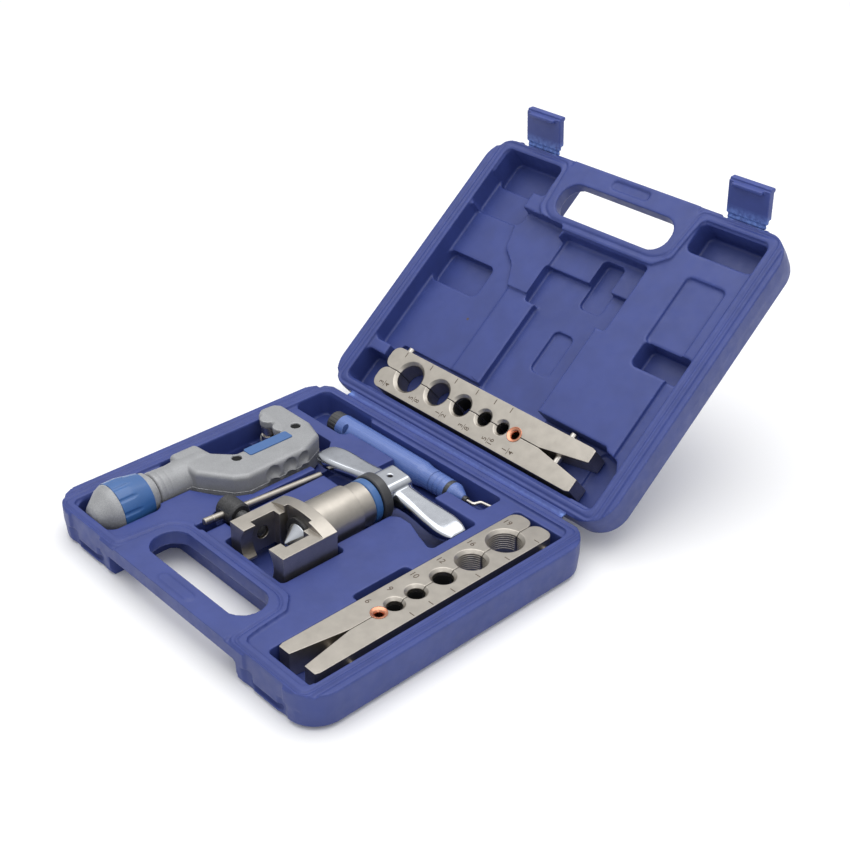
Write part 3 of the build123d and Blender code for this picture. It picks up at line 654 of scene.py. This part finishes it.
class FLARINGKIT_OT_case(bpy.types.Operator):
    """Make both halves of the case with soft, moulded edges."""
    bl_idname = "flaringkit.case"
    bl_label = "Case halves"

    def execute(self, context):
        s = settings("case")
        top = HINGE.z - PARTING / 2
        softened("base_shell", "case_blue", s.voxel, s.passes, s.keep, carve=self.groove(s, top))
        softened("lid_shell", "case_blue", s.voxel, s.passes, s.keep, LID, carve=self.groove(s, top + PARTING))
        self.painted_hole_shade()
        return {"FINISHED"}

    def groove(self, s, level):
        """The second channel of the rim, which steps round the carrying slot."""
        points = rounded_loop(GROOVE_LINE, GROOVE_CORNER)
        mesh = bpy.data.meshes.new("groove_line")
        count = len(points)
        mesh.from_pydata([(x, y, level) for x, y in points], [(i, (i + 1) % count) for i in range(count)], [])
        return grown(tube_tree(), {"Wire": s.groove, "Spacing": 2.0 * MM, "Material": FINISHES["case_blue"]}, mesh)

    def painted_hole_shade(self):
        """The small blow hole in the lid's largest pocket, as a dark disc on its floor: painted shade, for the
        dark inside the hole.
        """
        bm = bmesh.new()
        bmesh.ops.create_cone(bm, cap_ends=True, segments=24, radius1=VENT_RADIUS, radius2=VENT_RADIUS,
                              depth=VENT_DEPTH)
        mesh = bpy.data.meshes.new("lid_vent")
        bm.to_mesh(mesh)
        bm.free()
        mesh.transform(LID @ Matrix.Translation(VENT))
        # The engraved marks' dark finish, used here as painted shade for the hole.
        finished(linked("lid_vent", mesh), "lid", "case_blue", material=MARKS["engraved"])


class FLARINGKIT_OT_hinges(bpy.types.Operator):
    """Make the latches and the thin webs that bend."""
    bl_idname = "flaringkit.hinges"
    bl_label = "Latches and bending webs"

    def execute(self, context):
        s = settings("case")
        self.hinge_web(s)
        for side in ("left", "right"):
            pivot = LID.inverted() @ Vector(JOINTS[f"latch_{side}_hinge"]["pos_m"])
            softened("latch_" + side, "latch_blue", s.latch_voxel, LATCH_PASSES, 1.0, LID, self.whitening(pivot))
            self.latch_web(s, side, pivot)
        return {"FINISHED"}

    def hinge_web(self, s):
        low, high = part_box("hinge_web_base")
        y, z = HINGE.y, HINGE.z
        base = [Vector((y - 2.2 * MM, z - 1.0 * MM)), Vector((y - 0.4 * MM, z - 0.95 * MM))]
        lid = []
        for dy in (-0.4, -2.2):
            p = LID @ Vector((0, y + dy * MM, z + 1.0 * MM))
            lid.append(Vector((p.y, p.z)))
        line = smooth_line(base + lid, 5)
        web = web_strip("hinge_web", line, low.x, high.x, s.web, 1.2 * MM)
        blended(web, "latch_blue", "base", "lid", (0, *base[1]), (0, *lid[0]),
                "hinge_web_base", "hinge_web_lid")

    def latch_web(self, s, side, pivot):
        """Runs from the lid's wall to the pivot and on into the latch."""
        low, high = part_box("latch_" + side)
        rest = math.radians(JOINTS[f"latch_{side}_hinge"]["range_deg"][0])
        down = Vector((math.sin(rest), -math.cos(rest)))
        hub = Vector((pivot.y, pivot.z))
        shut = [hub + Vector((3.6, 0.9)) * MM, hub + Vector((1.3, 0.5)) * MM, hub, hub + down * 3.4 * MM]
        points = []
        for p in shut:
            q = LID @ Vector((0, p.x, p.y))
            points.append(Vector((q.y, q.z)))
        line = smooth_line(points, 4)
        web = web_strip("latch_web_" + side, line, low.x + 1.5 * MM, high.x - 1.5 * MM, s.web, 0.1 * MM)
        end = points[2].lerp(points[3], 0.4)
        blended(web, "latch_blue", "lid", "latch_" + side, (0, *points[1]), (0, *end))

    def whitening(self, pivot):
        """Paints how bent the plastic is, from the latch's pivot outwards."""
        def paint(mesh):
            bend = mesh.attributes.new("bend", "FLOAT", "POINT")
            for i, v in enumerate(mesh.vertices):
                away = math.hypot(v.co.y - pivot.y, v.co.z - pivot.z)
                bend.data[i].value = max(0.0, 1.0 - away / WHITENED)
        return paint


# ---------------------------------------------------------------- the tube cutter
class FLARINGKIT_OT_cutter(bpy.types.Operator):
    """Make the tube cutter: soft casting with its seam, knob, wheel and rollers."""
    bl_idname = "flaringkit.cutter"
    bl_label = "Tube cutter"

    def execute(self, context):
        s = settings("cutter")
        edge = settings("tool").break_edge
        frame_piece = softened("cutter_frame", "cast_grey", s.voxel, s.passes)
        self.seam(s, frame_piece)
        finished(crisp("frame_plugs", "dark_steel", edge), "cutter", "dark_steel", material=MARKS["black"])
        crisp("cutter_inlay", "grip_blue", edge)
        crisp("cutter_cap", "cast_grey", edge, angle=50)
        crisp("cutter_collar", "cast_grey", edge)
        crisp("cutter_grip", "grip_blue", edge)
        for node in ("cutter_feed_sleeve", "cutter_carriage", "wheel_pin", "cutting_wheel", "roller_pins",
                     "head_roller_left", "head_roller_right"):
            crisp(node, "roller_steel", 0.12 * MM)
        return {"FINISHED"}

    def seam(self, s, casting):
        """The raised line where the casting's two moulds met."""
        low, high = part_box("cutter_frame")
        level = (low.z + high.z) / 2
        bm = bmesh.new()
        bm.from_mesh(casting.data)
        cut = bmesh.ops.bisect_plane(bm, geom=bm.verts[:] + bm.edges[:] + bm.faces[:], plane_co=(0, 0, level),
                                     plane_no=(0, 0, 1))
        lines = {e for e in cut["geom_cut"] if isinstance(e, bmesh.types.BMEdge)}
        outer = {e for e in lines if all(v.co.y > -38 * MM for v in e.verts)}
        bmesh.ops.delete(bm, geom=[f for f in bm.faces], context="FACES_ONLY")
        bmesh.ops.delete(bm, geom=[e for e in bm.edges if e not in outer], context="EDGES")
        bmesh.ops.delete(bm, geom=[v for v in bm.verts if not v.link_edges], context="VERTS")
        mesh = bpy.data.meshes.new("seam_line")
        bm.to_mesh(mesh)
        bm.free()
        bead = grown(tube_tree(), {"Wire": s.seam, "Spacing": 1.2 * MM, "Material": FINISHES["cast_grey"]}, mesh)
        obj = linked("cutter_seam", bead)
        obj.data.shade_smooth()
        finished(obj, body_of("cutter_frame"), "cast_grey")


# ---------------------------------------------------------------- the flaring tool
CLAMP_PITCH = 0.8 * MM


class FLARINGKIT_OT_tool(bpy.types.Operator):
    """Make the flaring tool: nickel yoke, chrome handle and cone, blackened screws."""
    bl_idname = "flaringkit.tool"
    bl_label = "Flaring tool"

    def execute(self, context):
        s = settings("tool")
        crisp("flare_yoke", "nickel", s.break_edge)
        crisp("feed_ring_blue", "grip_blue", 0.2 * MM)
        crisp("feed_ring_black", "black_plastic", 0.2 * MM)
        softened("feed_handle", "chrome", s.voxel, s.passes)
        pin = crisp("handle_pin", "dark_steel", 0.1 * MM)
        finished(pin, "feed_spindle", "dark_steel", material=MARKS["black"])
        crisp("flare_cone", "chrome", 0.15 * MM)
        for node in ("feed_spindle", "cone_carrier", "clamp_screw", "clamp_pad"):
            crisp(node, "dark_steel", 0.15 * MM)
        crisp("clamp_hub", "dark_steel", s.break_edge)
        crisp("tommy_bar", "nickel", 0.15 * MM)
        self.thread()
        return {"FINISHED"}

    def thread(self):
        """Turns of thread on the clamp screw between its hub and the yoke."""
        low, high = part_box("clamp_screw")
        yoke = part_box("flare_yoke")[0].x
        centre = (low + high) / 2
        pitch = CLAMP_PITCH
        count = int((yoke - low.x) / pitch)
        turns = grown(ring_stack_tree(), {"Radius": (high.z - low.z) / 2 - 0.15 * MM, "Start": 0.0,
                                          "Sweep": 2 * math.pi - 0.001, "Wire": 0.28 * MM, "Pitch": pitch,
                                          "Count": count, "Material": FINISHES["dark_steel"]})
        place = Matrix.Translation((low.x + 0.4 * MM, centre.y, centre.z))
        place = place @ Matrix.Rotation(-math.pi / 2, 4, "Y")
        obj = joined("clamp_thread", [(turns, place)])
        finished(obj, body_of("clamp_screw"), "dark_steel")


# ---------------------------------------------------------------- the deburring pen
class FLARINGKIT_OT_pen(bpy.types.Operator):
    """Make the deburring pen."""
    bl_idname = "flaringkit.pen"
    bl_label = "Deburring pen"

    def execute(self, context):
        edge = settings("tool").break_edge
        crisp("deburr_body", "pen_blue", edge)
        crisp("deburr_nose", "pen_blue", edge)
        crisp("deburr_band", "black_plastic", 0.15 * MM)
        crisp("deburr_cap", "black_plastic", 0.15 * MM)
        crisp("deburr_chuck", "dark_steel", 0.15 * MM)
        crisp("deburr_blade", "roller_steel", 0.1 * MM)
        return {"FINISHED"}


# ---------------------------------------------------------------- the flaring bars
class Bar:
    """One flaring bar: its local frame has x across, y from the jaws and z out of the face."""

    def __init__(self, name, place, sizes, labels):
        self.name = name
        self.place = place
        self.sizes = sizes
        self.labels = labels


def bars():
    """Both bars' places, worked out from their own nodes."""
    half = BAR_HALF * MM
    low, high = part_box("metric_bar_fixed")
    metric = Matrix.Translation((low.x + half, low.y, high.z))
    shut = [LID.inverted() @ v.co for v in frame["nodes"]["inch_bar_fixed"].data.vertices]
    tip, back, face = max(p.x for p in shut), max(p.y for p in shut), min(p.z for p in shut)
    turn = Matrix.Rotation(math.pi, 4, "X") @ Matrix.Rotation(math.pi / 2, 4, "Z")
    inch = LID @ Matrix.Translation((tip, back - half, face)) @ turn
    return (Bar("metric", metric, (6.0, 9.0, 10.0, 12.0, 16.0, 19.0), ("6", "9", "10", "12", "16", "19")),
            Bar("inch", inch, (6.35, 7.94, 9.53, 12.7, 15.88, 19.05),
                ("1/4", "5/16", "3/8", "1/2", "5/8", "3/4")))


HOLE_PLACES = (55.5, 66.7, 82.4, 102.5, 124.5, 151.3)       # from the jaws' tip, in millimetres
FIGURE_PLACES = {"metric": (57.6, 73.3, 91.3, 111.3, 135.2, 164.9),
                 "inch": (52.6, 69.8, 90.8, 111.9, 136.9, 165.6)}
TICK_PLACES = (67.6, 81.5, 97.7, 116.8, 139.9, 163.9)
FIGURE_X, TICK_X = -11.3 * MM, 12.6 * MM
BAR_T, BAR_HALF = 15.5, 15.5                    # a bar's thickness, and the width of one half
BORE_SHADE_TOP = 4.2                                  # depth at which the painted shade in the smaller bores begins
SPLIT_MARGIN = 0.12                             # angle that the ridges and the painted bore shade leave free at the split
PROUD = 0.02 * MM
BOLD = 0.03 * MM


def flare_lip(diameter):
    """Depth of the seat round a hole, in millimetres."""
    return 1.4 + 0.035 * diameter


def figure_mesh(text, height):
    """Flat figures, centred, as a thin closed mesh."""
    curve = bpy.data.curves.new("figure", "FONT")
    curve.body = text
    curve.size = height * 1.38
    curve.align_x = "CENTER"
    curve.align_y = "CENTER"
    curve.extrude = PROUD
    curve.offset = BOLD
    curve.resolution_u = 4
    obj = linked("figure", curve)
    graph = bpy.context.evaluated_depsgraph_get()
    mesh = bpy.data.meshes.new_from_object(obj.evaluated_get(graph))
    bpy.data.objects.remove(obj)
    return mesh


def swept_wall(section, start, sweep, steps):
    """A ring or part ring: the (radius, height) section, in millimetres, turned about Z."""
    closed = sweep > 2 * math.pi - 0.01
    bm = bmesh.new()
    rings = []
    for i in range(steps if closed else steps + 1):
        angle = start + sweep * i / steps
        rings.append([bm.verts.new((r * MM * math.cos(angle), r * MM * math.sin(angle), z * MM))
                      for r, z in section])
    pairs = list(zip(rings, rings[1:] + rings[:1])) if closed else list(zip(rings, rings[1:]))
    for a, b in pairs:
        for k in range(len(section)):
            n = (k + 1) % len(section)
            bm.faces.new((a[k], b[k], b[n], a[n]))
    if not closed:
        bm.faces.new(rings[0])
        bm.faces.new(list(reversed(rings[-1])))
    bmesh.ops.recalc_face_normals(bm, faces=bm.faces)
    mesh = bpy.data.meshes.new("wall")
    bm.to_mesh(mesh)
    bm.free()
    return mesh


def stroke_mesh(long, wide):
    """One engraved line across the bar."""
    bm = bmesh.new()
    bmesh.ops.create_cube(bm, size=1.0, matrix=Matrix.Diagonal((long, wide, 2 * PROUD, 1.0)))
    bmesh.ops.bevel(bm, geom=[e for e in bm.edges if abs(e.verts[0].co.z - e.verts[1].co.z) > PROUD],
                    offset=wide * 0.45, segments=3, affect="EDGES")
    mesh = bpy.data.meshes.new("stroke")
    bm.to_mesh(mesh)
    bm.free()
    return mesh


class FLARINGKIT_OT_bars(bpy.types.Operator):
    """Make the metric and inch flaring bars with their figures and gripping ridges."""
    bl_idname = "flaringkit.bars"
    bl_label = "Flaring bars"

    def execute(self, context):
        s = settings("bar")
        edge = settings("tool").break_edge
        stack = ring_stack_tree()
        for bar in bars():
            turn = LID if bar.name == "inch" else FLAT
            for half in ("fixed", "loose"):
                crisp(f"{bar.name}_bar_{half}", "nickel", edge, turn)
                if bar.name == "metric":
                    self.ridges(s, bar, half, stack)
                # Dark linings in the smaller bores: painted shade.
                self.painted_bore_shade(bar, half)
            crisp(f"{bar.name}_bar_pins", "roller_steel", 0.2 * MM, turn)
            crisp(f"{bar.name}_copper_flare", "copper", 0.08 * MM, turn, 50)
            self.copper_lip(bar)
            self.figures(s, bar)
            self.ticks(s, bar)
        return {"FINISHED"}

    def ridges(self, s, bar, half, stack):
        """Gripping ridges in the wall of each open hole, on one half of the bar."""
        parts = []
        start = (-math.pi / 2 if half == "loose" else math.pi / 2) + SPLIT_MARGIN
        for u, diameter in list(zip(HOLE_PLACES, bar.sizes))[4:]:
            lip = flare_lip(diameter)
            count = int((BAR_T - lip - 2.0) * MM / s.pitch)
            ring = grown(stack, {"Radius": diameter / 2 * MM, "Start": start, "Sweep": math.pi - 2 * SPLIT_MARGIN,
                                 "Wire": s.ridge, "Pitch": s.pitch, "Count": count,
                                 "Material": FINISHES["nickel"]})
            parts.append((ring, bar.place @ Matrix.Translation((0, u * MM, -(lip + 1.2) * MM))))
        obj = joined(f"{bar.name}_{half}_ridges", parts)
        obj.data.shade_smooth()
        finished(obj, body_of(f"{bar.name}_bar_{half}"), "nickel")

    def painted_bore_shade(self, bar, half):
        """The smaller bores get a dark lining under their seats: painted shade for the shadow deep in the holes.
        """
        parts = []
        start = (-math.pi / 2 if half == "loose" else math.pi / 2) + SPLIT_MARGIN
        for u, diameter in list(zip(HOLE_PLACES, bar.sizes))[1:4]:
            r = diameter / 2
            wall = [(r - 0.09, -BORE_SHADE_TOP), (r - 0.02, -BORE_SHADE_TOP), (r - 0.02, -BAR_T), (r - 0.09, -BAR_T)]
            parts.append((swept_wall(wall, start, math.pi - 2 * SPLIT_MARGIN, 28),
                          bar.place @ Matrix.Translation((0, u * MM, 0))))
        obj = joined(f"{bar.name}_{half}_bores", parts)
        # The lining is painted shade, in the plugs' black finish.
        finished(obj, body_of(f"{bar.name}_bar_{half}"), "nickel", material=MARKS["black"])

    def copper_lip(self, bar):
        """The rim of the flared tube end, which stands a little proud of the bar's face."""
        r = bar.sizes[0] / 2
        wall = [(r - 0.55, -2.4), (r - 0.4, -1.0), (r + 1.55, 0.30), (r + 1.95, 0.38), (r + 1.95, 0.12),
                (r + 1.5, 0.04), (r + 1.05, 0.04), (r - 0.75, -1.3), (r - 0.75, -2.4)]
        rim = swept_wall(wall, 0.0, 2 * math.pi, 64)
        place = bar.place @ Matrix.Translation((0, HOLE_PLACES[0] * MM, 0))
        obj = joined(bar.name + "_copper_lip", [(rim, place)])
        obj.data.shade_smooth()
        finished(obj, body_of(bar.name + "_copper_flare"), "copper")

    def figures(self, s, bar):
        """The tube sizes beside the holes; a fraction is stacked."""
        parts = []
        for label, u in zip(bar.labels, FIGURE_PLACES[bar.name]):
            spot = bar.place @ Matrix.Translation((FIGURE_X, u * MM, 0))
            if "/" not in label:
                parts.append((figure_mesh(label, s.figure), spot))
                continue
            upper, lower = label.split("/")
            step = s.figure * 0.66
            parts.append((figure_mesh(upper, s.figure * 0.9), spot @ Matrix.Translation((0, step, 0))))
            parts.append((figure_mesh(lower, s.figure * 0.9), spot @ Matrix.Translation((0, -step, 0))))
            parts.append((stroke_mesh(s.figure * 1.15, 0.34 * MM), spot))
        obj = joined(bar.name + "_figures", parts)
        finished(obj, body_of(bar.name + "_bar_fixed"), "nickel", material=MARKS["engraved"])

    def ticks(self, s, bar):
        """A line across from each figure, on the loose half."""
        stroke = stroke_mesh(s.tick, 0.60 * MM)
        parts = [(stroke, bar.place @ Matrix.Translation((TICK_X, u * MM, 0))) for u in TICK_PLACES]
        obj = joined(bar.name + "_ticks", parts)
        finished(obj, body_of(bar.name + "_bar_loose"), "nickel", material=MARKS["engraved"])


# ---------------------------------------------------------------- floor, lights and camera
CAMERA_PLACE = (0.5267, -0.4126, 0.4960)
AIM = (0.0, 0.05, 0.05)                         # what both lights point at
FLOOR_SIZE = 60.0
LIGHTS = (("top_box", (-0.05, 0.10, 1.50), 1.8, 15.0), ("side_box", (1.30, -0.50, 0.80), 0.8, 2.0))
ROOM_LOW, ROOM_HIGH = (0.22, 0.23, 0.25, 1), (1, 1, 1, 1)
ROOM_HIGH_AT, ROOM_STRENGTH = 0.80, 1.15


class FLARINGKIT_OT_stage(bpy.types.Operator):
    """Make the floor, the lights and the camera."""
    bl_idname = "flaringkit.stage"
    bl_label = "Stage"

    def execute(self, context):
        s = settings("stage")
        self.floor(s)
        self.world()
        for light in LIGHTS:
            self.light(*light)
        self.camera(s)
        context.scene.view_settings.view_transform = "Standard"
        return {"FINISHED"}

    def floor(self, s):
        bm = bmesh.new()
        bmesh.ops.create_grid(bm, x_segments=2, y_segments=2, size=FLOOR_SIZE)
        mesh = bpy.data.meshes.new("floor")
        bm.to_mesh(mesh)
        bm.free()
        obj = linked("floor", mesh)
        obj.data.materials.append(pale_floor("pale_floor", s.floor))

    def world(self):
        """A pale room, darker low down so that polished pieces have something to mirror."""
        world = bpy.data.worlds.new("room")
        bpy.context.scene.world = world
        world.use_nodes = True
        nodes, links = world.node_tree.nodes, world.node_tree.links
        where = nodes.new("ShaderNodeTexCoord")
        split = nodes.new("ShaderNodeSeparateXYZ")
        ramp = nodes.new("ShaderNodeValToRGB")
        ramp.color_ramp.elements[0].position = 0.0
        ramp.color_ramp.elements[0].color = ROOM_LOW
        ramp.color_ramp.elements[1].position = ROOM_HIGH_AT
        ramp.color_ramp.elements[1].color = ROOM_HIGH
        links.new(where.outputs["Generated"], split.inputs["Vector"])
        links.new(split.outputs["Z"], ramp.inputs["Fac"])
        links.new(ramp.outputs["Color"], nodes["Background"].inputs["Color"])
        nodes["Background"].inputs["Strength"].default_value = ROOM_STRENGTH

    def light(self, name, place, size, power):
        data = bpy.data.lights.new(name, "AREA")
        data.shape = "SQUARE"
        data.size = size
        data.energy = power
        obj = bpy.data.objects.new(name, data)
        bpy.context.scene.collection.objects.link(obj)
        obj.location = place
        aim = Vector(AIM) - Vector(place)
        obj.rotation_euler = aim.to_track_quat("-Z", "Y").to_euler()

    def camera(self, s):
        az, el = s.azimuth, s.elevation
        back = Vector((math.sin(az) * math.cos(el), -math.cos(az) * math.cos(el), math.sin(el)))
        right = Vector((math.cos(az), math.sin(az), 0))
        up = back.cross(right)
        across = right * math.cos(s.roll) + up * math.sin(s.roll)
        above = up * math.cos(s.roll) - right * math.sin(s.roll)
        data = bpy.data.cameras.new("camera")
        data.lens = s.lens
        data.clip_start = 0.01
        obj = bpy.data.objects.new("camera", data)
        bpy.context.scene.collection.objects.link(obj)
        turn = Matrix((across, above, back)).transposed().to_4x4()
        obj.matrix_world = Matrix.Translation(CAMERA_PLACE) @ turn
        bpy.context.scene.camera = obj


# ---------------------------------------------------------------- panel and registration
OPERATORS = (FLARINGKIT_OT_case, FLARINGKIT_OT_hinges, FLARINGKIT_OT_cutter, FLARINGKIT_OT_tool,
             FLARINGKIT_OT_pen, FLARINGKIT_OT_bars, FLARINGKIT_OT_stage)
GROUPS = {"case": CaseSettings, "cutter": CutterSettings, "tool": ToolSettings, "bar": BarSettings,
          "stage": StageSettings}


class FLARINGKIT_PT_panel(bpy.types.Panel):
    bl_idname = "FLARINGKIT_PT_panel"
    bl_label = "Flaring tool kit"
    bl_space_type = "VIEW_3D"
    bl_region_type = "UI"
    bl_category = "Flaring kit"

    def draw(self, context):
        for operator in OPERATORS:
            self.layout.operator(operator.bl_idname)


def register():
    for group, kind in GROUPS.items():
        bpy.utils.register_class(kind)
        setattr(bpy.types.Scene, "flaring_kit_" + group, PointerProperty(type=kind))
    for kind in (*OPERATORS, FLARINGKIT_PT_panel):
        bpy.utils.register_class(kind)


def unregister():
    for kind in (FLARINGKIT_PT_panel, *reversed(OPERATORS)):
        bpy.utils.unregister_class(kind)
    for group, kind in GROUPS.items():
        delattr(bpy.types.Scene, "flaring_kit_" + group)
        bpy.utils.unregister_class(kind)


def main():
    register()
    make_finishes()
    bpy.ops.flaringkit.stage()
    bpy.ops.flaringkit.case()
    bpy.ops.flaringkit.hinges()
    bpy.ops.flaringkit.cutter()
    bpy.ops.flaringkit.tool()
    bpy.ops.flaringkit.pen()
    bpy.ops.flaringkit.bars()


if __name__ == "__main__":
    main()
